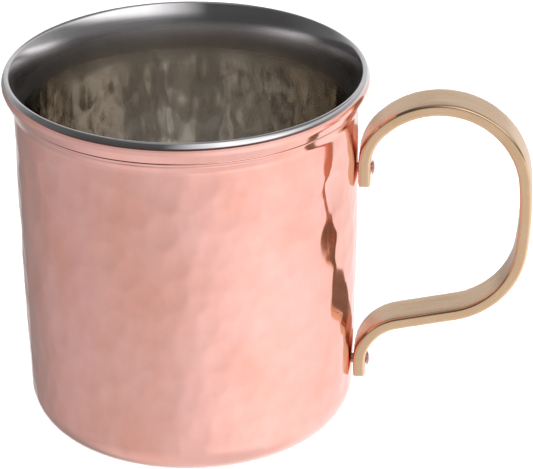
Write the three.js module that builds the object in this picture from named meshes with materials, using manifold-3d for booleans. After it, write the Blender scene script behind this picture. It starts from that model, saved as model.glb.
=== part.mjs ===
// Hammered copper mug with a tin lining and a riveted brass strap handle.
// Millimetres, +Z up. The cup's axis is Z, its flat base lies on z = 0 and the handle points along +X.

import * as THREE from "three";
import { mergeVertices } from "three/addons/utils/BufferGeometryUtils.js";
import Module from "manifold-3d";

const wasm = await Module();
wasm.setup();

// ---- cup: driving dimensions ----
const cupHeight = 94.15;
const rimRadius = 45.6; // the widest place, on the folded rim
const rimDrop = 2.35; // from the top of the lip down to the widest place
const shoulderRadius = 3.5; // outside of the rim, above the widest place
const rimTurnRadius = 2; // outside of the rim, below the widest place
const flareAngle = 25; // degrees from upright, outside
const flareBendRadius = 3; // outside, from the wall into the flare
const lipRadius = 0.7; // rounding over the top
const innerFlareRise = 11.4; // from where the inside starts to flare up to the centre of the lip's rounding
const neckRadius = 42.7; // the wall just below the flare
const footRadius = 40.6; // where the wall leaves the bottom corner
const wallBow = 0.42; // how far the wall swells out between foot and neck
const cornerRadius = 11.2; // rounding from base to wall
const wallThickness = 1.44; // copper and lining together
const liningThickness = 0.34;
const liningGap = 0.04;
const lipWrapAngle = 26; // degrees above level at which the lining ends outside the lip

// ---- handle: driving dimensions ----
const strapWidth = 10.8;
const strapThickness = 3.0;
const strapEdgeRadius = 0.65;
const upperFoot = { x: 44.25, z: 65.3 }; // centre of the strap's upper end
const upperFootLength = 5.1;
// The loop outside the cup: round stretches from the upper foot to the lower reach, turning right.
const loopArcs = [
  { radius: 13.7, degrees: 43.8 }, // away from the wall
  { radius: 20.8, degrees: 83.1 }, // over the top
  { radius: 21.6, degrees: 49.5 }, // into the grip
  { radius: 83.5, degrees: 13.0 }, // the nearly straight grip
  { radius: 20.6, degrees: 69.9 }, // under the fingers
];
const lowerReach = 14.8; // straight stretch back towards the cup
const lowerBendRadius = 11.7; // turns left into the lower foot
const lowerFootLength = 3.5;
const arcStep = 6; // degrees between points on the strap

// ---- rivets: driving dimensions ----
const rivetShankRadius = 1.2;
const rivetHeadRadius = 1.85;
const rivetHeadHeight = 0.9;
const rivetTailRadius = 1.9;
const rivetTailHeight = 0.7;
const upperRivetZ = 68.5;
const lowerRivetZ = 15.5;
const clearance = 0.3; // kept between a rivet and what it passes through or rests on

// ---- roundness ----
const cupSegments = 72;
const rivetSegments = 24;

// ---- materials ----
const copper = new THREE.MeshStandardMaterial({ color: "#d99583", roughness: 0.28, metalness: 1 });
const tin = new THREE.MeshStandardMaterial({ color: "#9b9389", roughness: 0.3, metalness: 1 });
const brass = new THREE.MeshStandardMaterial({ color: "#dcb98a", roughness: 0.35, metalness: 1 });
const rivetCopper = new THREE.MeshStandardMaterial({ color: "#b87a70", roughness: 0.3, metalness: 1 });

const radians = THREE.MathUtils.degToRad;

// ---- closed solids for joining and cutting ----

function toSolid(geometry) {
  geometry.deleteAttribute("normal");
  geometry.deleteAttribute("uv");
  const merged = mergeVertices(geometry, 1e-4);
  const index = merged.index.array;
  const triangles = [];
  for (let i = 0; i < index.length; i += 3) {
    const [a, b, c] = [index[i], index[i + 1], index[i + 2]];
    if (a !== b && b !== c && c !== a) triangles.push(a, b, c);
  }
  const mesh = new wasm.Mesh({
    numProp: 3,
    vertProperties: merged.attributes.position.array,
    triVerts: new Uint32Array(triangles),
  });
  return new wasm.Manifold(mesh);
}

function toGeometry(solid) {
  const mesh = solid.getMesh();
  const geometry = new THREE.BufferGeometry();
  geometry.setAttribute("position", new THREE.BufferAttribute(mesh.vertProperties, 3));
  geometry.setIndex(new THREE.BufferAttribute(mesh.triVerts, 1));
  geometry.computeVertexNormals();
  return geometry;
}

// Turns a profile of (radius, height) points about Z.
function turned(profile, segments) {
  return new THREE.LatheGeometry(profile, segments).rotateX(Math.PI / 2);
}

// Turns a profile of (radius, x) points about the X axis, at the height z.
function turnedAboutX(profile, z) {
  return new THREE.LatheGeometry(profile, rivetSegments).rotateZ(-Math.PI / 2).translate(0, 0, z);
}

function arcPoints(centre, radius, fromDegrees, toDegrees, steps) {
  return Array.from({ length: steps + 1 }, (_, i) => {
    const angle = radians(fromDegrees + ((toDegrees - fromDegrees) * i) / steps);
    return new THREE.Vector2(centre.x + radius * Math.cos(angle), centre.y + radius * Math.sin(angle));
  });
}

// ---- cup profile: the rim's arcs, then the outside and the inside as lists of (radius, height) points ----

const sine = Math.sin(radians(flareAngle));
const cosine = Math.cos(radians(flareAngle));
const widestZ = cupHeight - rimDrop;
const shoulderCentre = new THREE.Vector2(rimRadius - shoulderRadius, widestZ);
const rimTurnCentre = new THREE.Vector2(rimRadius - rimTurnRadius, widestZ);

// The small lip arc runs smoothly into the shoulder arc at this angle above level.
const lipReach = shoulderRadius - lipRadius;
const shoulderAngle = THREE.MathUtils.radToDeg(Math.asin((rimDrop - lipRadius) / lipReach));
const lipCentre = new THREE.Vector2(
  shoulderCentre.x + lipReach * Math.cos(radians(shoulderAngle)),
  cupHeight - lipRadius,
);

// The flare is straight between the bend out of the wall and the turn at the widest place.
const flareTop = new THREE.Vector2(
  rimTurnCentre.x + rimTurnRadius * cosine,
  rimTurnCentre.y - rimTurnRadius * sine,
);
const bendTopRadius = neckRadius + flareBendRadius * (1 - cosine);
const bendTopZ = flareTop.y - ((flareTop.x - bendTopRadius) * cosine) / sine;
const neckZ = bendTopZ - flareBendRadius * sine;
const bendCentre = new THREE.Vector2(neckRadius + flareBendRadius, neckZ);

// The radius of the outer wall between the bottom corner and the neck.
function wallRadius(z) {
  const t = (z - cornerRadius) / (neckZ - cornerRadius);
  return footRadius + (neckRadius - footRadius) * t + 4 * wallBow * t * (1 - t);
}

// Inside, the flare is one arc that leaves the wall upright and runs smoothly into the lip arc.
const innerFlareZ = lipCentre.y - innerFlareRise;
const innerWallRadius = wallRadius(innerFlareZ) - wallThickness;
const innerReach = lipCentre.x - innerWallRadius;
const innerFlareRadius =
  (innerReach ** 2 + innerFlareRise ** 2 - lipRadius ** 2) / (2 * (innerReach - lipRadius));
const innerFlareCentre = new THREE.Vector2(innerWallRadius + innerFlareRadius, innerFlareZ);
const innerFlareAngle = THREE.MathUtils.radToDeg(Math.asin(innerFlareRise / (innerFlareRadius - lipRadius)));

// The base, the bottom corner and the wall, set in from the outside by a distance.
function cupBelowNeck(inset) {
  const cornerCentre = new THREE.Vector2(footRadius - cornerRadius, cornerRadius);
  const corner = arcPoints(cornerCentre, cornerRadius - inset, -90, 0, 8);
  const wall = [0.2, 0.4, 0.6, 0.8].map((t) => {
    const z = THREE.MathUtils.lerp(cornerRadius, neckZ, t);
    return new THREE.Vector2(wallRadius(z) - inset, z);
  });
  return [new THREE.Vector2(0, inset), ...corner, ...wall];
}

// The outside from the axis to the line on the shoulder where the lining ends.
function cupOutside() {
  return [
    ...cupBelowNeck(0),
    ...arcPoints(bendCentre, flareBendRadius, 180, 180 - flareAngle, 3),
    ...arcPoints(rimTurnCentre, rimTurnRadius, -flareAngle, 0, 3),
    ...arcPoints(shoulderCentre, shoulderRadius, 0, lipWrapAngle, 3).slice(1),
  ];
}

// The inside from the axis, over the lip, to the same line, at a depth below the lining's face.
function cupInside(depth) {
  return [
    ...cupBelowNeck(wallThickness - depth),
    ...arcPoints(innerFlareCentre, innerFlareRadius - depth, 180, 180 - innerFlareAngle, 5),
    ...arcPoints(lipCentre, lipRadius - depth, 180 - innerFlareAngle, shoulderAngle, 6).slice(1),
    ...arcPoints(shoulderCentre, shoulderRadius - depth, shoulderAngle, lipWrapAngle, 2).slice(1),
  ];
}

function rivetHole(z, fromX, toX) {
  const radius = rivetShankRadius + clearance;
  const profile = [
    new THREE.Vector2(0, fromX),
    new THREE.Vector2(radius, fromX),
    new THREE.Vector2(radius, toX),
    new THREE.Vector2(0, toX),
  ];
  return toSolid(turnedAboutX(profile, z));
}

function withRivetHoles(solid, fromX, toX) {
  return solid.subtract(rivetHole(upperRivetZ, fromX, toX)).subtract(rivetHole(lowerRivetZ, fromX, toX));
}

function cupBody() {
  const profile = [...cupOutside(), ...cupInside(liningThickness).reverse()];
  return withRivetHoles(toSolid(turned(profile, cupSegments)), rimRadius - 12, rimRadius);
}

function tinLining() {
  const profile = [...cupInside(liningThickness - liningGap), ...cupInside(0).reverse()];
  return withRivetHoles(toSolid(turned(profile, cupSegments)), rimRadius - 12, rimRadius);
}

// ---- handle ----

// Walks along the strap and returns its centre line as places with a heading in radians.
function strapCentreLine() {
  const places = [{ x: upperFoot.x, z: upperFoot.z, heading: Math.PI / 2 }];
  const last = () => places[places.length - 1];
  const straight = (length) => {
    const { x, z, heading } = last();
    places.push({ x: x + length * Math.cos(heading), z: z + length * Math.sin(heading), heading });
  };
  const bend = (radius, turnDegrees) => {
    const start = last();
    const side = Math.sign(turnDegrees);
    const steps = Math.ceil(Math.abs(turnDegrees) / arcStep);
    for (let i = 1; i <= steps; i += 1) {
      const heading = start.heading + radians((turnDegrees * i) / steps);
      places.push({
        x: start.x + side * radius * (Math.sin(heading) - Math.sin(start.heading)),
        z: start.z - side * radius * (Math.cos(heading) - Math.cos(start.heading)),
        heading,
      });
    }
  };
  straight(upperFootLength);
  loopArcs.forEach(({ radius, degrees }) => bend(radius, -degrees));
  straight(lowerReach);
  const turned = loopArcs.reduce((sum, { degrees }) => sum + degrees, 0);
  bend(lowerBendRadius, turned - 180);
  straight(lowerFootLength);
  return places;
}

function strapSide(places, offset) {
  return places.map(({ x, z, heading }) => {
    return new THREE.Vector2(x - offset * Math.sin(heading), z + offset * Math.cos(heading));
  });
}

function handleStrap() {
  const places = strapCentreLine();
  const half = strapThickness / 2;
  const outline = [...strapSide(places, -half), ...strapSide(places, half).reverse()];
  const geometry = new THREE.ExtrudeGeometry(new THREE.Shape(outline), {
    depth: strapWidth - 2 * strapEdgeRadius,
    steps: 1,
    bevelThickness: strapEdgeRadius,
    bevelSize: strapEdgeRadius,
    bevelOffset: -strapEdgeRadius,
    bevelSegments: 2,
  });
  geometry.translate(0, 0, strapEdgeRadius - strapWidth / 2).rotateX(Math.PI / 2);
  return withRivetHoles(toSolid(geometry), rimRadius - 12, rimRadius + 12);
}

// ---- rivets ----

// One rivet along X: its dome rests on the strap's outer face and its tail on the lining inside the cup.
function rivet(z, strapCentreX) {
  const headX = strapCentreX + strapThickness / 2 + clearance;
  const tailX = wallRadius(z) - wallThickness - clearance;
  const dome = [0.15, 0.5, 0.8, 0.95].map((t) => {
    return new THREE.Vector2(rivetHeadRadius * Math.sqrt(1 - t * t), headX + rivetHeadHeight * t);
  });
  const profile = [
    new THREE.Vector2(0, tailX - rivetTailHeight),
    new THREE.Vector2(rivetTailRadius * 0.7, tailX - rivetTailHeight),
    new THREE.Vector2(rivetTailRadius, tailX - rivetTailHeight / 2),
    new THREE.Vector2(rivetTailRadius, tailX),
    new THREE.Vector2(rivetShankRadius, tailX),
    new THREE.Vector2(rivetShankRadius, headX),
    new THREE.Vector2(rivetHeadRadius, headX),
    ...dome,
    new THREE.Vector2(0, headX + rivetHeadHeight),
  ];
  return toSolid(turnedAboutX(profile, z));
}

// ---- assembly ----

function addPiece(group, name, solid, material) {
  const piece = new THREE.Mesh(toGeometry(solid), material);
  piece.name = name;
  group.add(piece);
}

const strapPlaces = strapCentreLine();
const lowerFootX = strapPlaces[strapPlaces.length - 1].x;

const mug = new THREE.Group();
mug.name = "copper_mug";
addPiece(mug, "cup_body", cupBody(), copper);
addPiece(mug, "tin_lining", tinLining(), tin);
addPiece(mug, "handle_strap", handleStrap(), brass);
addPiece(mug, "upper_rivet", rivet(upperRivetZ, upperFoot.x), rivetCopper);
addPiece(mug, "lower_rivet", rivet(lowerRivetZ, lowerFootX), rivetCopper);

export default mug;
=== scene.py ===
"""Looks of the copper mug: hammered copper cup, hammered tin lining, brushed brass strap, copper rivets.

Metres, +Z up. The cup's axis is Z, its base lies on z = 0 and the handle points along +X, as in the CAD.
"""

import math

import bpy
import numpy as np
from mathutils import Matrix, Vector


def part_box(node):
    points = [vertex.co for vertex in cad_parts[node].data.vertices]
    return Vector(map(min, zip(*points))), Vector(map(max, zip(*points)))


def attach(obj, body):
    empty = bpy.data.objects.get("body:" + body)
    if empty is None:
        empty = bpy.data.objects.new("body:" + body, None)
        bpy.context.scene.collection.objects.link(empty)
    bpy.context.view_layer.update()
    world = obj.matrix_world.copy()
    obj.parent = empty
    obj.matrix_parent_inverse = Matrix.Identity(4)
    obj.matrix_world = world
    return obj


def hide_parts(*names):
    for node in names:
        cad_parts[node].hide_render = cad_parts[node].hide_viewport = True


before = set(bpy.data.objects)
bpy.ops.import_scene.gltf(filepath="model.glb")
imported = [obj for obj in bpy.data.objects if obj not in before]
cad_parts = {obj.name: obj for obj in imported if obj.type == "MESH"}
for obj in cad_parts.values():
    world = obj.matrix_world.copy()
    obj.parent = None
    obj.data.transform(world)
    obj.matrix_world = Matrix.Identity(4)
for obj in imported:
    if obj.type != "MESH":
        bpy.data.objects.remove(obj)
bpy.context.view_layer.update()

MM = 0.001

# ---- cup: the CAD's driving dimensions ----
CUP_HEIGHT = 94.15 * MM
RIM_RADIUS = 45.6 * MM
RIM_DROP = 2.35 * MM
SHOULDER_RADIUS = 3.5 * MM
RIM_TURN_RADIUS = 2.0 * MM
FLARE_ANGLE = math.radians(25)
FLARE_BEND_RADIUS = 3.0 * MM
LIP_RADIUS = 0.7 * MM
INNER_FLARE_RISE = 11.4 * MM
NECK_RADIUS = 42.7 * MM
FOOT_RADIUS = 40.6 * MM
WALL_BOW = 0.42 * MM
CORNER_RADIUS = 11.2 * MM
WALL_THICKNESS = 1.44 * MM
LINING_THICKNESS = 0.34 * MM
LINING_GAP = 0.04 * MM
LIP_WRAP_ANGLE = math.radians(20)  # the tin shows a third of a millimetre further down than in the CAD

# ---- handle: the CAD's driving dimensions ----
STRAP_WIDTH = 10.8 * MM
STRAP_THICKNESS = 3.0 * MM
STRAP_EDGE = 0.65 * MM
UPPER_FOOT = (44.25 * MM, 65.3 * MM)
UPPER_FOOT_LENGTH = 5.1 * MM
LOOP_ARCS = ((13.7, 43.8), (20.8, 83.1), (21.6, 49.5), (83.5, 13.0), (20.6, 69.9))  # mm, degrees
LOWER_REACH = 14.8 * MM
LOWER_BEND_RADIUS = 11.7 * MM
LOWER_FOOT_LENGTH = 3.5 * MM

# ---- rivets ----
HEAD_RADIUS = 1.8 * MM
HEAD_HEIGHT = 0.65 * MM
HEAD_SEAT = 0.9 * MM  # from the top of the CAD's head down to the strap side of it
SHANK_RADIUS = 1.2 * MM
TAIL_RADIUS = 1.9 * MM
TAIL_HEIGHT = 0.7 * MM
RIVET_SEGMENTS = 48
RIVET_UNEVENNESS = 0.015  # how far out of round a head is, as a share of its radius

# ---- surface relief ----
SEGMENTS = 384  # round the cup
COPPER_MARKS = (9.5 * MM, 80.5 * MM)  # lowest and highest centres of the copper's hammer marks
COPPER_HAMMER = {
    "cell": (4.2 * MM, 5.4 * MM),
    "roundness": (32 * MM, 55 * MM),
    "depth": 0.055 * MM,
    "tilt": 0.03,
    "seed": 11,
}
LINING_MARKS = (8.0 * MM, 80.5 * MM)
LINING_HAMMER = {
    "cell": (5.0 * MM, 6.0 * MM),
    "roundness": (26 * MM, 90 * MM),
    "depth": 0.07 * MM,
    "tilt": 0.010,
    "seed": 23,
}
LINING_TOP = 84.0 * MM  # where the lining turns smooth
BROAD_FLUTES = 17  # upright waves round the lining
NARROW_FLUTES = 29
FLUTE_HEIGHT = 0.05 * MM  # of the broad flutes, either side of their middle
NARROW_SHARE = 0.6  # the narrow flutes' height as a share of the broad ones'
FLUTES_FADE_BELOW = 25 * MM
BAND_Z = 88.4 * MM  # lower edge of the folded band of the rim
BAND_STEP = 0.09 * MM
GROOVE_HALF_WIDTH = 0.16 * MM
GROOVE = (0.1 * MM, 0.32 * MM)  # how far below the band's edge, and how deep
SECOND_GROOVE = (1.15 * MM, 0.22 * MM)

# ---- metals: the darker and the lighter colour of each ----
COPPER = ((0.92, 0.465, 0.385), (0.97, 0.54, 0.485))
RIVET_COPPER = ((0.46, 0.23, 0.22), (0.60, 0.31, 0.29))
TIN_LIP = ((0.74, 0.72, 0.735), (0.80, 0.785, 0.80))
# The flare colour is darker as painted shade, standing in for the dark room that the inner flare reflects.
TIN_FLARE_PAINTED_SHADE = ((0.58, 0.55, 0.53), (0.66, 0.63, 0.61))
TIN_WALL = ((0.78, 0.75, 0.71), (0.85, 0.82, 0.78))
# Painted light on the brass: the face colour is paler for the white sheen on the broad faces, and the side
# colour is darker and more golden as painted shade on the side faces.
BRASS_PAINTED_SHEEN = ((0.87, 0.61, 0.40), (0.93, 0.67, 0.47))
BRASS_PAINTED_SHADE = ((0.78, 0.53, 0.33), (0.84, 0.58, 0.375))
GRAIN_RANGE = (0.3, 0.7)  # the part of the noise that the roughness follows

# ---- camera ----
CAMERA_AZIMUTH = math.radians(3.96)
CAMERA_PITCH = math.radians(25.18)
CAMERA_ROLL = math.radians(-0.82)
CAMERA_PLACE = Vector((0.01941, -1.06276, 0.54858))
CAMERA_LENS = 316.1


# ---- meshes ----

def new_object(name, verts, faces, smooth=True):
    mesh = bpy.data.meshes.new(name)
    mesh.from_pydata([tuple(v) for v in verts], [], faces)
    mesh.update()
    if smooth:
        mesh.shade_smooth()
        mesh.set_sharp_from_angle(angle=math.radians(50))
    piece = bpy.data.objects.new(name, mesh)
    bpy.context.scene.collection.objects.link(piece)
    return piece


def ring_faces(rings, n):
    """The faces between rings of n points each, where one ring follows another."""
    around = np.arange(n)
    after = np.roll(around, -1)
    faces = []
    for low in range(0, (rings - 1) * n, n):
        high = low + n
        faces += np.stack([low + around, low + after, high + after, high + around], 1).tolist()
    return faces


def turned_faces(rings, n):
    """The faces of a turned solid, whose two end points follow its rings."""
    first, last, top = rings * n, rings * n + 1, (rings - 1) * n
    faces = ring_faces(rings, n)
    faces += [(first, (j + 1) % n, j) for j in range(n)]
    faces += [(last, top + j, top + (j + 1) % n) for j in range(n)]
    return faces


def tube_faces(rings, n):
    """The faces of a tube of rings of n points each, closed at both ends by one flat face."""
    faces = ring_faces(rings, n)
    faces.append(tuple(range(n - 1, -1, -1)))
    faces.append(tuple((rings - 1) * n + j for j in range(n)))
    return faces


def smooth_step(x, low, high):
    t = np.clip((x - low) / (high - low), 0, 1)
    return t * t * (3 - 2 * t)


# ---- cup profile: stretches of (radius, height) points with the direction out of the metal at each ----

def arc(centre, radius, start, end, step, side=1):
    """An arc. side is 1 where the metal is on the centre's side and -1 where it is outside the arc."""
    count = max(2, math.ceil(abs(end - start) * radius / step))
    angles = np.linspace(start, end, count + 1)
    ray = np.stack([np.cos(angles), np.sin(angles)], 1)
    return np.asarray(centre) + radius * ray, side * ray


def straight(first, last, normal, step):
    """The points between two ends of a straight stretch, without the ends."""
    first, last = np.asarray(first), np.asarray(last)
    count = max(2, math.ceil(np.linalg.norm(last - first) / step))
    t = np.linspace(0, 1, count + 1)[1:-1, None]
    return first + (last - first) * t, np.tile(normal, (count - 1, 1))


def joined(*stretches):
    points = np.vstack([stretch[0] for stretch in stretches])
    normals = np.vstack([stretch[1] for stretch in stretches])
    return points, normals


def reverse(stretch):
    return stretch[0][::-1], stretch[1][::-1]


WIDEST_Z = CUP_HEIGHT - RIM_DROP
SHOULDER_CENTRE = np.array([RIM_RADIUS - SHOULDER_RADIUS, WIDEST_Z])
RIM_TURN_CENTRE = np.array([RIM_RADIUS - RIM_TURN_RADIUS, WIDEST_Z])
SHOULDER_ANGLE = math.asin((RIM_DROP - LIP_RADIUS) / (SHOULDER_RADIUS - LIP_RADIUS))
LIP_CENTRE = np.array([
    SHOULDER_CENTRE[0] + (SHOULDER_RADIUS - LIP_RADIUS) * math.cos(SHOULDER_ANGLE),
    CUP_HEIGHT - LIP_RADIUS,
])
FLARE_NORMAL = np.array([math.cos(FLARE_ANGLE), -math.sin(FLARE_ANGLE)])
FLARE_TOP = RIM_TURN_CENTRE + RIM_TURN_RADIUS * FLARE_NORMAL
BEND_TOP_R = NECK_RADIUS + FLARE_BEND_RADIUS * (1 - math.cos(FLARE_ANGLE))
BEND_TOP_Z = FLARE_TOP[1] - (FLARE_TOP[0] - BEND_TOP_R) / math.tan(FLARE_ANGLE)
NECK_Z = BEND_TOP_Z - FLARE_BEND_RADIUS * math.sin(FLARE_ANGLE)
BEND_CENTRE = np.array([NECK_RADIUS + FLARE_BEND_RADIUS, NECK_Z])


def wall_radius(z):
    t = (z - CORNER_RADIUS) / (NECK_Z - CORNER_RADIUS)
    return FOOT_RADIUS + (NECK_RADIUS - FOOT_RADIUS) * t + 4 * WALL_BOW * t * (1 - t)


INNER_FLARE_Z = LIP_CENTRE[1] - INNER_FLARE_RISE
INNER_WALL_RADIUS = wall_radius(INNER_FLARE_Z) - WALL_THICKNESS
INNER_REACH = LIP_CENTRE[0] - INNER_WALL_RADIUS
INNER_FLARE_RADIUS = (
    (INNER_REACH**2 + INNER_FLARE_RISE**2 - LIP_RADIUS**2) / (2 * (INNER_REACH - LIP_RADIUS))
)
INNER_FLARE_CENTRE = (INNER_WALL_RADIUS + INNER_FLARE_RADIUS, INNER_FLARE_Z)
INNER_FLARE_ANGLE = math.asin(INNER_FLARE_RISE / (INNER_FLARE_RADIUS - LIP_RADIUS))


def cup_wall(inset, side, top, step):
    """Base, bottom corner and wall, set in from the outside; side is 1 outside the cup and -1 inside it."""
    base_r = np.arange(2 * MM, FOOT_RADIUS - CORNER_RADIUS - 0.5 * MM, 2 * MM)
    base = np.stack([np.append(0, base_r), np.full(len(base_r) + 1, inset)], 1)
    base_normals = np.tile([0.0, -side], (len(base), 1))
    corner_centre = (FOOT_RADIUS - CORNER_RADIUS, CORNER_RADIUS)
    corner = arc(corner_centre, CORNER_RADIUS - inset, -math.pi / 2, 0, step, side)
    z = np.linspace(CORNER_RADIUS, top, math.ceil((top - CORNER_RADIUS) / step))[1:-1]
    slope = np.gradient(wall_radius(z), z)
    wall = np.stack([wall_radius(z) - inset, z], 1)
    wall_normals = side * np.stack([np.ones_like(z), -slope], 1) / np.sqrt(1 + slope**2)[:, None]
    return joined((base, base_normals), corner, (wall, wall_normals))


def without_first(stretch):
    return stretch[0][1:], stretch[1][1:]


def cup_outside(step):
    """From the axis to the line on the shoulder where the lining ends."""
    bend = arc(BEND_CENTRE, FLARE_BEND_RADIUS, math.pi, math.pi - FLARE_ANGLE, 0.25 * MM, -1)
    turn = arc(RIM_TURN_CENTRE, RIM_TURN_RADIUS, -FLARE_ANGLE, 0, 0.2 * MM)
    shoulder = arc(SHOULDER_CENTRE, SHOULDER_RADIUS, 0, LIP_WRAP_ANGLE, 0.2 * MM)
    flare = straight(bend[0][-1], turn[0][0], FLARE_NORMAL, 0.13 * MM)
    return joined(cup_wall(0, 1, NECK_Z, step), bend, flare, turn, without_first(shoulder))


def cup_inside(depth, step, lip_step):
    """From the axis over the lip to the same line, at a depth below the lining's face."""
    wall = cup_wall(WALL_THICKNESS - depth, -1, INNER_FLARE_Z, step)
    flare = arc(
        INNER_FLARE_CENTRE, INNER_FLARE_RADIUS - depth, math.pi, math.pi - INNER_FLARE_ANGLE, step
    )
    lip = arc(LIP_CENTRE, LIP_RADIUS - depth, math.pi - INNER_FLARE_ANGLE, SHOULDER_ANGLE, lip_step)
    shoulder = arc(SHOULDER_CENTRE, SHOULDER_RADIUS - depth, SHOULDER_ANGLE, LIP_WRAP_ANGLE, lip_step)
    return joined(wall, flare, without_first(lip), without_first(shoulder))


def turned_mesh(name, profile, relief):
    """A closed turned solid. relief(theta) moves each point of the grid out of the metal."""
    points, normals = profile
    theta = np.linspace(0, 2 * math.pi, SEGMENTS, endpoint=False)
    grid = np.broadcast_to(theta, (len(points), SEGMENTS))
    move = relief(grid)
    r = points[:, :1] + normals[:, :1] * move
    z = points[:, 1:] + normals[:, 1:] * move
    verts = np.stack([r * np.cos(grid), r * np.sin(grid), z], 2)
    all_verts = np.vstack([verts[1:-1].reshape(-1, 3), verts[0].mean(0), verts[-1].mean(0)])
    return new_object(name, all_verts, turned_faces(len(points) - 2, SEGMENTS))


# ---- hammer marks ----

def hammer_marks(theta, along, centres, cell, roundness, depth, tilt, seed):
    """Shallow overlapping dents on a jittered grid, as heights at or below the unhammered surface.

    along is the distance along the profile, centres the first and last distance at which dents are centred,
    cell the (width, height) of a dent, roundness its two radii and tilt how far it leans.
    """
    rng = np.random.default_rng(seed)
    columns = round(2 * math.pi * FOOT_RADIUS / cell[0])
    rows = math.ceil(along.max() / cell[1]) + 4
    jitter = rng.uniform(-0.38, 0.38, (rows, columns, 2))
    floor = rng.normal(-depth, 0.2 * depth, (rows, columns))
    lean = rng.normal(0, tilt, (rows, columns, 2))
    lean[:, :, 0] += rng.normal(0, tilt, columns)
    u = theta / (2 * math.pi) * columns
    v = along / cell[1] + 1.5
    column, row = np.floor(u).astype(int), np.floor(v).astype(int)
    sharpness = 60 / MM
    total = np.ones_like(u)
    for down in (-1, 0, 1):
        r = np.clip(row + down, 0, rows - 1)
        for beside in (-2, -1, 0, 1, 2):
            c = column + beside
            w = c % columns
            centre = (r + 0.5 + jitter[r, w, 1] - 1.5) * cell[1]
            du = (u - c - 0.5 - jitter[r, w, 0] - 0.5 * (r % 2)) * cell[0]
            dv = along - centre
            rise = floor[r, w] + du**2 / (2 * roundness[0]) + dv**2 / (2 * roundness[1])
            rise += lean[r, w, 0] * du + lean[r, w, 1] * dv
            struck = (centre > centres[0]) & (centre < centres[1])
            total += np.where(struck, np.exp(-sharpness * rise), 0)
    return -np.log(total) / sharpness


def distance_along(points):
    steps = np.linalg.norm(np.diff(points, axis=0), axis=1)
    return np.append(0, np.cumsum(steps))


def groove_shape(z, groove):
    below, depth = groove
    return depth * np.exp(-(((z - BAND_Z + below) / GROOVE_HALF_WIDTH) ** 2))


def copper_cup():
    outside = cup_outside(0.7 * MM)
    inside = cup_inside(LINING_THICKNESS, 4 * MM, 0.25 * MM)
    profile = joined(outside, reverse(inside))
    points = profile[0]
    along = distance_along(points)
    face = slice(0, len(outside[0]))
    centres = np.interp(COPPER_MARKS, points[face, 1], along[face])
    is_outside = (np.arange(len(points)) < len(outside[0]))[:, None]
    z = points[:, 1:]
    folded = smooth_step(z, BAND_Z, BAND_Z + 0.25 * MM)
    folded = folded * (1 - smooth_step(z, WIDEST_Z - 1.2 * MM, WIDEST_Z))
    in_band = is_outside * (z > NECK_Z) * (z < WIDEST_Z) * smooth_step(z, NECK_Z, BAND_Z - 1.6 * MM)

    def relief(theta):
        rows = np.broadcast_to(along[:, None], theta.shape)
        marks = hammer_marks(theta, rows, centres, **COPPER_HAMMER)
        fading = 0.5 + 0.5 * np.sin(3 * theta + 0.8)
        rim = BAND_STEP * (folded - 1) - groove_shape(z, GROOVE) - groove_shape(z, SECOND_GROOVE) * fading
        return is_outside * marks + in_band * rim

    return turned_mesh("hammered_cup", profile, relief)


def lining():
    seat = cup_inside(LINING_THICKNESS - LINING_GAP, 4 * MM, 0.25 * MM)
    inside = reverse(cup_inside(0, 0.7 * MM, 0.12 * MM))
    profile = joined(seat, inside)
    points = profile[0]
    along = distance_along(points)
    face = slice(len(seat[0]), len(points))
    centres = np.interp(LINING_MARKS[::-1], points[face, 1][::-1], along[face][::-1])
    is_face = (np.arange(len(points)) >= len(seat[0]))[:, None]
    z = points[:, 1:]
    fluted = smooth_step(z, LINING_MARKS[0], FLUTES_FADE_BELOW)
    fluted = fluted * (1 - smooth_step(z, LINING_MARKS[1] - 6 * MM, LINING_TOP))

    def relief(theta):
        rows = np.broadcast_to(along[:, None], theta.shape)
        marks = hammer_marks(theta, rows, centres, **LINING_HAMMER)
        broad = np.sin(BROAD_FLUTES * theta + 1.1 * np.sin(3 * theta))
        narrow = NARROW_SHARE * np.sin(NARROW_FLUTES * theta + 2)
        return is_face * (marks + fluted * FLUTE_HEIGHT * (broad + narrow - 1 - NARROW_SHARE))

    return turned_mesh("hammered_lining", profile, relief)


# ---- handle ----

def strap_line(step):
    """Places (x, z, heading) along the strap's centre line, from the upper foot to the lower one."""
    places = [(*UPPER_FOOT, math.pi / 2)]

    def walk(length, turn=0.0):
        x, z, heading = places[-1]
        count = max(2, math.ceil(length / step))
        for i in range(1, count + 1):
            part = turn * i / count
            if turn:
                chord = 2 * length / turn * math.sin(part / 2)
            else:
                chord = length * i / count
            toward = heading + part / 2
            places.append((x + chord * math.cos(toward), z + chord * math.sin(toward), heading + part))

    walk(UPPER_FOOT_LENGTH)
    for radius, degrees in LOOP_ARCS:
        walk(radius * MM * math.radians(degrees), -math.radians(degrees))
    walk(LOWER_REACH)
    back = math.radians(sum(degrees for _, degrees in LOOP_ARCS) - 180)
    walk(LOWER_BEND_RADIUS * back, back)
    walk(LOWER_FOOT_LENGTH)
    return places


def strap_section(shrink):
    """Once round the strap's section: (across, out, 1 on a rounded edge and 0 elsewhere) at each point."""
    half_w = STRAP_WIDTH / 2 - shrink
    half_t = STRAP_THICKNESS / 2 - shrink
    edge = max(STRAP_EDGE - shrink, 0.05 * MM)
    corners = []
    for side, face, start in ((1, 1, 0), (-1, 1, 90), (-1, -1, 180), (1, -1, 270)):
        centre = (side * (half_w - edge), face * (half_t - edge))
        angles = [math.radians(start + 18 * i) for i in range(6)]
        corners.append([(centre[0] + edge * math.cos(a), centre[1] + edge * math.sin(a)) for a in angles])
    section = []
    for corner, following in zip(corners, corners[1:] + corners[:1]):
        section += [(across, out, float(0 < i < 5)) for i, (across, out) in enumerate(corner)]
        (across, out), (goal_across, goal_out) = corner[-1], following[0]
        for t in (0.25, 0.5, 0.75):
            section.append((across + (goal_across - across) * t, out + (goal_out - out) * t, 0.0))
    return section


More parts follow.
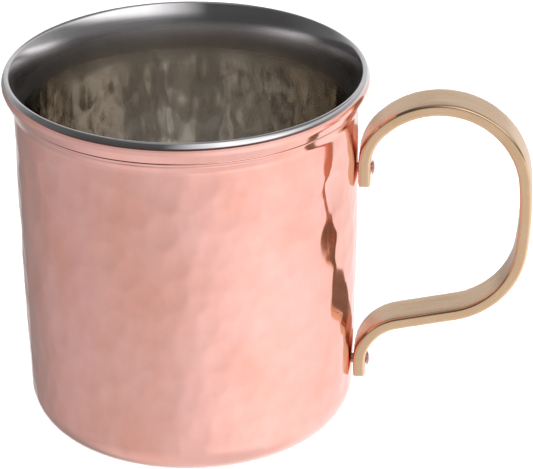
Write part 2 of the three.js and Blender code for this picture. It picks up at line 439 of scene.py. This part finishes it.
def strap_rings():
    """(x, z, heading, shrink) of each section, with the corners of both ends eased."""
    places = strap_line(0.8 * MM)
    ends = ((0.6, 0.0), (0.3, 0.07), (0.1, 0.25), (0.0, 0.6))  # how far the section shrinks at each distance
    (x0, z0, h0), (x1, z1, h1) = places[0], places[-1]
    rings = [(x0, z0 + move * MM, h0, shrink * MM) for shrink, move in ends]
    rings += [(x, z, h, 0.0) for x, z, h in places[1:-1]]
    rings += [(x1, z1 + move * MM, h1, shrink * MM) for shrink, move in reversed(ends)]
    return rings


def add_attribute(piece, name, kind, field, values):
    attribute = piece.data.attributes.new(name, kind, "POINT")
    attribute.data.foreach_set(field, values)


def brass_strap():
    rings = strap_rings()
    verts, grain, edge, side = [], [], [], []
    travelled = 0.0
    before = rings[0]
    for x, z, heading, shrink in rings:
        travelled += math.hypot(x - before[0], z - before[1])
        before = (x, z)
        for across, out, on_edge in strap_section(shrink):
            verts.append((x - out * math.sin(heading), across, z + out * math.cos(heading)))
            grain.append((travelled, across, out))
            edge.append(on_edge)
            # 1 on the side faces, which get the darker, more golden brass colour as painted shade.
            side.append(float(abs(across) > STRAP_WIDTH / 2 - 0.4 * STRAP_EDGE))
    piece = new_object("brushed_strap", verts, tube_faces(len(rings), len(strap_section(0.0))))
    add_attribute(piece, "grain_place", "FLOAT_VECTOR", "vector", np.ravel(grain))
    add_attribute(piece, "worn_edge", "FLOAT", "value", edge)
    add_attribute(piece, "painted_shade_side", "FLOAT", "value", side)
    return piece


# ---- rivets ----

def rivet(name, node):
    """One rivet about the CAD rivet's own axis: domed head outside, shank, flattened tail inside."""
    low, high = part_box(node)
    z = (low.z + high.z) / 2
    head_x = high.x - HEAD_SEAT
    tail_x = low.x + TAIL_HEIGHT
    angles = np.linspace(math.pi / 2, 0, 12)
    tail = [(TAIL_RADIUS * math.cos(a), tail_x - TAIL_HEIGHT * math.sin(a)) for a in angles]
    head = [(HEAD_RADIUS * math.cos(a), head_x + HEAD_HEIGHT * math.sin(a)) for a in angles[::-1]]
    profile = tail + [(SHANK_RADIUS, tail_x), (SHANK_RADIUS, head_x)] + head
    turns = np.linspace(0, 2 * math.pi, RIVET_SEGMENTS, endpoint=False)
    start = np.random.default_rng(int(z / MM)).uniform(0, 6)
    uneven = 1 + RIVET_UNEVENNESS * np.cos(2 * turns + start)
    verts = []
    for r, x in profile[1:-1]:
        reach = r * uneven if r > SHANK_RADIUS else np.full(RIVET_SEGMENTS, r)
        verts += [(x, a * math.cos(turn), z + a * math.sin(turn)) for a, turn in zip(reach, turns)]
    verts += [(profile[0][1], 0, z), (profile[-1][1], 0, z)]
    return new_object(name, verts, turned_faces(len(profile) - 2, RIVET_SEGMENTS))


# ---- materials ----

class Graph:
    """A node tree and the few kinds of node used in it."""

    def __init__(self, tree):
        self.nodes = tree.nodes
        self.links = tree.links

    def noise(self, place, scale, stretch=(1, 1, 1), detail=3.0):
        mapping = self.nodes.new("ShaderNodeMapping")
        mapping.inputs["Scale"].default_value = stretch
        node = self.nodes.new("ShaderNodeTexNoise")
        node.inputs["Scale"].default_value = scale
        node.inputs["Detail"].default_value = detail
        node.inputs["Roughness"].default_value = 0.6
        self.links.new(place, mapping.inputs["Vector"])
        self.links.new(mapping.outputs["Vector"], node.inputs["Vector"])
        return node.outputs["Fac"]

    def ramp(self, source, stops):
        node = self.nodes.new("ShaderNodeValToRGB")
        elements = node.color_ramp.elements
        for element, (position, colour) in ((elements[0], stops[0]), (elements[1], stops[-1])):
            element.position = position
            element.color = (*colour, 1)
        for position, colour in stops[1:-1]:
            elements.new(position).color = (*colour, 1)
        self.links.new(source, node.inputs["Fac"])
        return node.outputs["Color"]

    def range(self, source, low, high, to_low, to_high):
        node = self.nodes.new("ShaderNodeMapRange")
        node.interpolation_type = "SMOOTHSTEP"
        for name, value in (("From Min", low), ("From Max", high), ("To Min", to_low), ("To Max", to_high)):
            node.inputs[name].default_value = value
        self.links.new(source, node.inputs["Value"])
        return node.outputs["Result"]

    def mix(self, factor, first, second):
        node = self.nodes.new("ShaderNodeMix")
        node.data_type = "RGBA"
        self.links.new(factor, node.inputs["Factor"])
        self.links.new(first, node.inputs[6])
        self.links.new(second, node.inputs[7])
        return node.outputs[2]

    def math(self, operation, *values):
        node = self.nodes.new("ShaderNodeMath")
        node.operation = operation
        for i, value in enumerate(values):
            if isinstance(value, (int, float)):
                node.inputs[i].default_value = value
            else:
                self.links.new(value, node.inputs[i])
        return node.outputs["Value"]

    def blend(self, low, high, factor):
        """low where factor is 0 and high where it is 1, for plain numbers."""
        low_part = self.math("MULTIPLY", low, self.math("SUBTRACT", 1, factor))
        return self.math("ADD", low_part, self.math("MULTIPLY", high, factor))

    def split(self, vector):
        node = self.nodes.new("ShaderNodeSeparateXYZ")
        self.links.new(vector, node.inputs["Vector"])
        return node.outputs


class Metal(Graph):
    """A metal's material."""

    def __init__(self, name):
        self.material = bpy.data.materials.new(name)
        self.material.use_nodes = True
        super().__init__(self.material.node_tree)
        self.shader = self.nodes["Principled BSDF"]
        self.shader.inputs["Metallic"].default_value = 1.0

    def set(self, socket, source):
        self.links.new(source, self.shader.inputs[socket])

    def place(self):
        return self.nodes.new("ShaderNodeTexCoord").outputs["Object"]

    def height_of(self, place):
        return self.split(place)["Z"]

    def cloudy(self, clouds, colours, spread=0.15):
        """From the darker to the lighter colour, over the noise within spread of its middle."""
        return self.ramp(clouds, ((0.5 - spread, colours[0]), (0.5 + spread, colours[1])))

    def attribute(self, name, output):
        node = self.nodes.new("ShaderNodeAttribute")
        node.attribute_name = name
        return node.outputs[output]

    def bump(self, source, distance):
        node = self.nodes.new("ShaderNodeBump")
        node.inputs["Distance"].default_value = distance
        self.links.new(source, node.inputs["Height"])
        self.set("Normal", node.outputs["Normal"])


def hammered_metal(name, colours, rough, band_z, grain_depth):
    """Satin hammered metal: cloudy colour, an upright fine grain, and turned lines above band_z."""
    metal = Metal(name)
    place = metal.place()
    clouds = metal.noise(place, 60, (1, 1, 0.7), 5)
    metal.set("Base Color", metal.cloudy(clouds, colours, 0.14))
    upright = metal.noise(place, 1100, (1, 1, 0.12), 2)
    level = metal.noise(place, 1100, (0.04, 0.04, 2.5), 2)
    above = metal.range(metal.height_of(place), band_z - 0.4 * MM, band_z, 0, 1)
    in_band = metal.math("MULTIPLY", level, above)
    elsewhere = metal.math("MULTIPLY", upright, metal.math("SUBTRACT", 1, above))
    grain = metal.math("ADD", in_band, elsewhere)
    metal.set("Roughness", metal.range(grain, *GRAIN_RANGE, *rough))
    metal.bump(grain, grain_depth)
    return metal.material


def hammered_tin():
    """Polished at the lip, satin and painted darker as shade where the inside flares, and mirror-like again
    on the hammered wall.
    """
    metal = Metal("hammered_tin")
    place = metal.place()
    height = metal.height_of(place)
    clouds = metal.noise(place, 90, (1, 1, 0.3), 4)
    # flare is 1 on the inner flare: a duller finish there, and the darker flare colour painted on as shade.
    flare = metal.range(height, CUP_HEIGHT - 9 * MM, CUP_HEIGHT - 1.5 * MM, 1, 0)
    hammered = metal.range(height, LINING_TOP - 6 * MM, LINING_TOP + 1 * MM, 1, 0)
    above_wall = metal.mix(flare, metal.cloudy(clouds, TIN_LIP), metal.cloudy(clouds, TIN_FLARE_PAINTED_SHADE))
    metal.set("Base Color", metal.mix(hammered, above_wall, metal.cloudy(clouds, TIN_WALL)))
    dull_flare = metal.math("MULTIPLY", flare, 0.22)
    dullness = metal.math("SUBTRACT", dull_flare, metal.math("MULTIPLY", hammered, 0.245))
    level = metal.noise(place, 1100, (0.04, 0.04, 2.5), 2)
    polish = metal.range(level, *GRAIN_RANGE, 0.1, 0.14)
    metal.set("Roughness", metal.math("ADD", polish, dullness))
    metal.bump(level, 0.0008 * MM)
    return metal.material


def brushed_brass():
    """Brushed along the strap, with smoother rounded edges, paler broad faces as a painted sheen and darker,
    more golden side faces as painted shade.
    """
    metal = Metal("brushed_brass")
    place = metal.attribute("grain_place", "Vector")
    edge = metal.attribute("worn_edge", "Fac")
    clouds = metal.noise(place, 90, (1, 1, 1), 3)
    # Painted light: the side faces take the darker, more golden brass as painted shade, and the broad faces
    # take the paler brass as a painted sheen.
    side = metal.attribute("painted_shade_side", "Fac")
    colour = metal.mix(side, metal.cloudy(clouds, BRASS_PAINTED_SHEEN), metal.cloudy(clouds, BRASS_PAINTED_SHADE))
    metal.set("Base Color", colour)
    grain = metal.noise(place, 2600, (0.03, 1, 1), 2)
    satin = metal.range(grain, *GRAIN_RANGE, 0.22, 0.36)
    metal.set("Roughness", metal.math("MULTIPLY", satin, metal.range(edge, 0, 1, 1, 0.6)))
    flat = metal.math("MULTIPLY", grain, metal.range(edge, 0, 1, 1, 0.2))
    metal.bump(flat, 0.004 * MM)
    return metal.material


def dress(piece, material, node):
    piece.data.materials.append(material)
    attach(piece, "root")
    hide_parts(node)


copper = hammered_metal("hammered_copper", COPPER, (0.06, 0.13), BAND_Z, 0.0015 * MM)
tin = hammered_tin()
brass = brushed_brass()
rivet_metal = hammered_metal("rivet_copper", RIVET_COPPER, (0.16, 0.26), 1.0, 0.001 * MM)

dress(copper_cup(), copper, "cup_body")
dress(lining(), tin, "tin_lining")
dress(brass_strap(), brass, "handle_strap")
dress(rivet("upper_rivet_dome", "upper_rivet"), rivet_metal, "upper_rivet")
dress(rivet("lower_rivet_dome", "lower_rivet"), rivet_metal, "lower_rivet")


# ---- stage: floor, backdrop, light, camera ----

def plain_material(name, socket, value):
    material = bpy.data.materials.new(name)
    material.use_nodes = True
    shader = material.node_tree.nodes["Principled BSDF"]
    shader.inputs["Base Color"].default_value = (0.9, 0.9, 0.9, 1)
    shader.inputs[socket].default_value = value
    return material


def pale_floor():
    size = 3.0
    corners = [(-size, -size, 0), (size, -size, 0), (size, size, 0), (-size, size, 0)]
    floor = new_object("floor", corners, [(0, 1, 2, 3)], smooth=False)
    floor.location.z = -0.1 * MM
    floor.data.materials.append(plain_material("pale_floor", "Roughness", 0.9))
    floor.visible_glossy = False


# The studio, dim on the left and lit from the right: brightness at each angle in degrees to the right of the
# camera's side, for the white table, the dark room just above level, the soft light above that and its top.
STUDIO = (
    (-180, 1.00, 0.75, 0.70, 0.20),
    (-150, 0.30, 0.60, 0.55, 0.20),
    (-105, 0.50, 0.15, 0.15, 0.10),
    (-60, 0.60, 0.07, 0.08, 0.10),
    (-10, 0.70, 0.07, 0.08, 0.10),
    (30, 1.00, 0.10, 1.40, 1.40),
    (60, 1.15, 0.15, 1.40, 1.00),
    (90, 1.10, 0.20, 0.60, 0.20),
    (135, 1.05, 0.55, 0.70, 0.20),
    (180, 1.00, 0.75, 0.70, 0.20),
)
ZENITH = 0.35
UNDERFOOT = 0.86  # brightness straight down


def studio_world():
    """A soft studio all round: a white table, a dark room above it and a tall soft light on the right."""
    world = bpy.data.worlds.new("studio")
    world.use_nodes = True
    graph = Graph(world.node_tree)
    direction = graph.split(graph.nodes.new("ShaderNodeTexCoord").outputs["Generated"])

    def above(degrees_low, degrees_high):
        low, high = math.sin(math.radians(degrees_low)), math.sin(math.radians(degrees_high))
        return graph.range(direction["Z"], low, high, 0, 1)

    azimuth = graph.math("ARCTAN2", direction["X"], graph.math("MULTIPLY", direction["Y"], -1))
    turn = graph.math("ADD", graph.math("DIVIDE", azimuth, 2 * math.pi), 0.5)
    table, room, light, top = [
        graph.ramp(turn, [((row[0] + 180) / 360, (row[column],) * 3) for row in STUDIO])
        for column in (1, 2, 3, 4)
    ]
    steeper = graph.math("SUBTRACT", 1.10, graph.math("MULTIPLY", above(-38, -12), 0.2))
    table = graph.blend(UNDERFOOT, graph.math("MULTIPLY", table, steeper), above(-80, -48))
    total = graph.blend(table, room, above(-4, 1))
    total = graph.blend(total, light, above(11, 19))
    total = graph.blend(total, top, above(27, 38))
    total = graph.blend(total, ZENITH, above(62, 78))
    graph.links.new(total, graph.nodes["Background"].inputs["Color"])
    bpy.context.scene.world = world


def backdrop():
    """A white dome that only the camera sees."""
    rings, segments, radius = 12, 48, 9.0
    verts = [(0, 0, radius)]
    for i in range(1, rings + 1):
        tilt = math.pi * 0.6 * i / rings
        for j in range(segments):
            turn = 2 * math.pi * j / segments
            verts.append((
                radius * math.sin(tilt) * math.cos(turn),
                radius * math.sin(tilt) * math.sin(turn),
                radius * math.cos(tilt),
            ))
    faces = [(0, 1 + j, 1 + (j + 1) % segments) for j in range(segments)]
    for i in range(rings - 1):
        for j in range(segments):
            k = (j + 1) % segments
            a, b = 1 + i * segments, 1 + (i + 1) * segments
            faces.append((a + j, b + j, b + k, a + k))
    dome = new_object("backdrop", verts, faces)
    material = plain_material("white_backdrop", "Emission Strength", 1.0)
    material.node_tree.nodes["Principled BSDF"].inputs["Emission Color"].default_value = (1, 1, 1, 1)
    dome.data.materials.append(material)
    dome.visible_glossy = False
    dome.visible_diffuse = False
    dome.visible_shadow = False


def floor_light():
    """A shadowless light from above that whitens the floor and isn't seen in the metal."""
    light = bpy.data.lights.new("floor_light", "SUN")
    light.energy = 3.6
    light.use_shadow = False
    lamp = bpy.data.objects.new("floor_light", light)
    lamp.visible_glossy = False
    bpy.context.scene.collection.objects.link(lamp)


def add_camera():
    camera_data = bpy.data.cameras.new("camera")
    camera_data.lens = CAMERA_LENS
    camera_data.sensor_width = 36
    camera_data.clip_end = 20
    camera = bpy.data.objects.new("camera", camera_data)
    turn = Matrix.Rotation(CAMERA_AZIMUTH, 4, "Z")
    tilt = Matrix.Rotation(math.pi / 2 - CAMERA_PITCH, 4, "X")
    roll = Matrix.Rotation(CAMERA_ROLL, 4, "Z")
    camera.matrix_world = Matrix.Translation(turn @ CAMERA_PLACE) @ turn @ tilt @ roll
    bpy.context.scene.collection.objects.link(camera)
    bpy.context.scene.camera = camera


pale_floor()
backdrop()
studio_world()
floor_light()
add_camera()
bpy.context.scene.view_settings.view_transform = "Standard"
bpy.context.scene.cycles.glossy_bounces = 10
